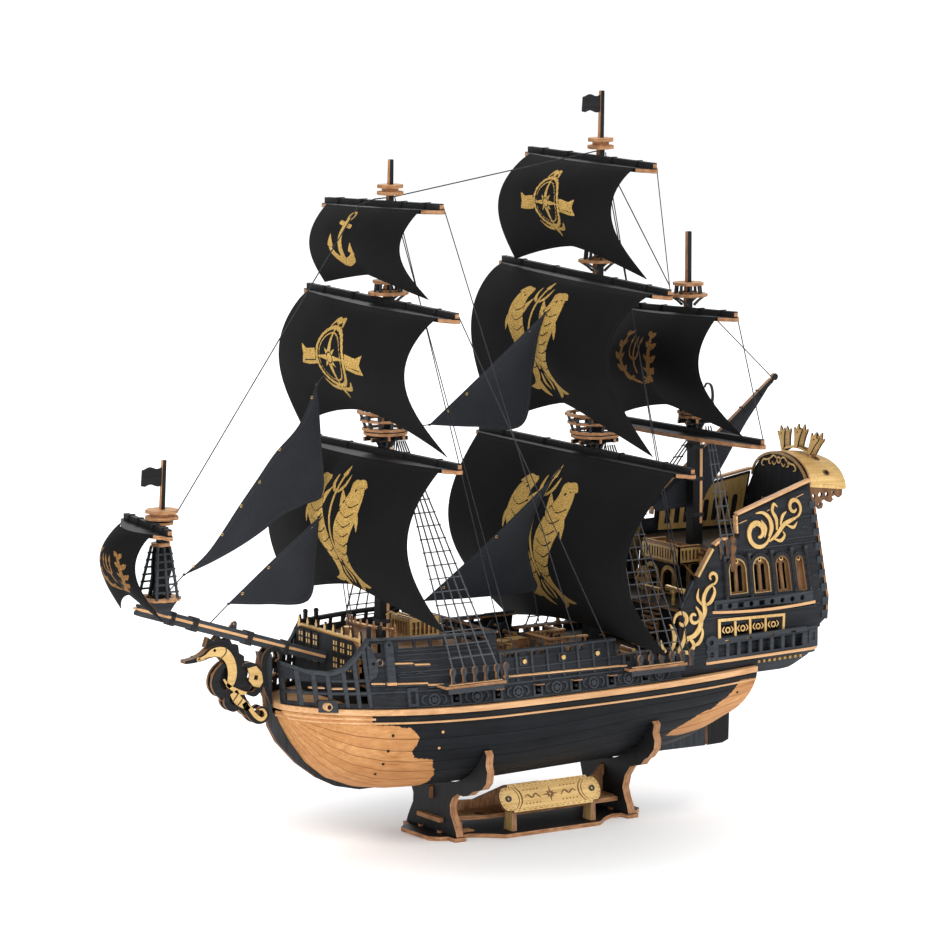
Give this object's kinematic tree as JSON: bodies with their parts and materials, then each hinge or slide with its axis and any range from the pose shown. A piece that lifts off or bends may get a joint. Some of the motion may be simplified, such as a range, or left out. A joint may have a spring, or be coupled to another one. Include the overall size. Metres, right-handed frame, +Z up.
{
  "type": "model sailing ship",
  "caption": "Three-masted galleon display model in layered laser-cut ply, with curved dark sails, thread rigging, gold fittings and a cradle stand.",
  "frame": {"origin": "middle of the underside of the stand's base plate, where the model rests on a table", "axes": "+Z up, -X towards the bow, -Y to port, the ship's centre plane at Y = 0"},
  "size_m": [0.6118, 0.285, 0.5344],
  "materials": {
    "black_ply": "matt black printed ply with brown cut edges",
    "slate_ply": "matt slate grey printed ply with relief and brown cut edges",
    "natural_ply": "bare birch ply",
    "gold_ply": "satin gold printed ply",
    "sail_cloth": "black woven cloth with gold print",
    "stay_cloth": "charcoal woven cloth",
    "thread": "waxed dark grey thread"
  },
  "bodies": {
    "stand": {"base_plate": "black_ply", "front_cradle": "black_ply", "rear_cradle": "black_ply", "name_plate": "gold_ply", "chart_stretcher": "natural_ply", "stretcher_web": "natural_ply"},
    "ship": {"balcony": "gold_ply", "beakhead_bulkhead": "black_ply", "bowsprit": "black_ply", "crossjack_yard": "black_ply", "figurehead": "gold_ply", "fore_course": "sail_cloth", "fore_course_yard": "black_ply", "fore_mast": "black_ply", "fore_shrouds": "thread", "fore_topgallant": "sail_cloth", "fore_topsail": "sail_cloth", "fore_topsail_yard": "black_ply", "forecastle_deck": "natural_ply", "gallery_port": "slate_ply", "gallery_starboard": "slate_ply", "hull_frame": "natural_ply", "inner_jib": "stay_cloth", "keel_spine": "black_ply", "lateen_sail": "stay_cloth", "main_course": "sail_cloth", "main_course_yard": "black_ply", "main_deck": "natural_ply", "main_mast": "black_ply", "main_shrouds": "thread", "main_staysail": "stay_cloth", "main_topgallant": "sail_cloth", "main_topmast_staysail": "stay_cloth", "main_topsail": "sail_cloth", "main_topsail_yard": "black_ply", "masthead_stay": "thread", "mizzen_mast": "black_ply", "mizzen_shrouds": "thread", "mizzen_topsail": "sail_cloth", "outer_jib": "stay_cloth", "planking_port": "natural_ply", "planking_starboard": "black_ply", "poop_bulkhead": "slate_ply", "poop_deck": "natural_ply", "quarterdeck": "natural_ply", "side_port": "slate_ply", "side_starboard": "slate_ply", "sprit_mast": "black_ply", "sprit_sail": "sail_cloth", "stern_lanterns": "gold_ply", "stern_roof": "gold_ply", "stern_side_port": "slate_ply", "stern_side_starboard": "slate_ply", "transom": "slate_ply", "wale_plate": "natural_ply"},
    "rudder": {"rudder": "black_ply"},
    "capstan": {"capstan": "gold_ply"},
    "ship_wheel": {"ship_wheel": "gold_ply"},
    "swivel_gun_port": {"swivel_gun_port": "gold_ply"},
    "swivel_gun_starboard": {"swivel_gun_starboard": "gold_ply"}
  },
  "joints": [
    {"name": "ship_lift", "type": "slide", "parent": "stand", "child": "ship", "axis": [0, 0, 1], "range_m": [0, 0.12]},
    {"name": "rudder_hinge", "type": "hinge", "parent": "ship", "child": "rudder", "pos_m": [0.16675, 0, 0.0699], "axis": [0, 0, 1], "range_deg": [-30, 30]},
    {"name": "capstan_turn", "type": "hinge", "parent": "ship", "child": "capstan", "pos_m": [-0.01825, 0, 0.1254], "axis": [0, 0, 1], "continuous": true},
    {"name": "wheel_turn", "type": "hinge", "parent": "ship", "child": "ship_wheel", "pos_m": [0.10775, 0, 0.1704], "axis": [1, 0, 0], "continuous": true},
    {"name": "gun_port_swivel", "type": "hinge", "parent": "ship", "child": "swivel_gun_port", "pos_m": [0.10125, -0.0485, 0.1709], "axis": [0, 0, 1], "range_deg": [-50, 50]},
    {"name": "gun_starboard_swivel", "type": "hinge", "parent": "ship", "child": "swivel_gun_starboard", "pos_m": [0.10125, 0.0485, 0.1709], "axis": [0, 0, 1], "range_deg": [-50, 50]}
  ]
}
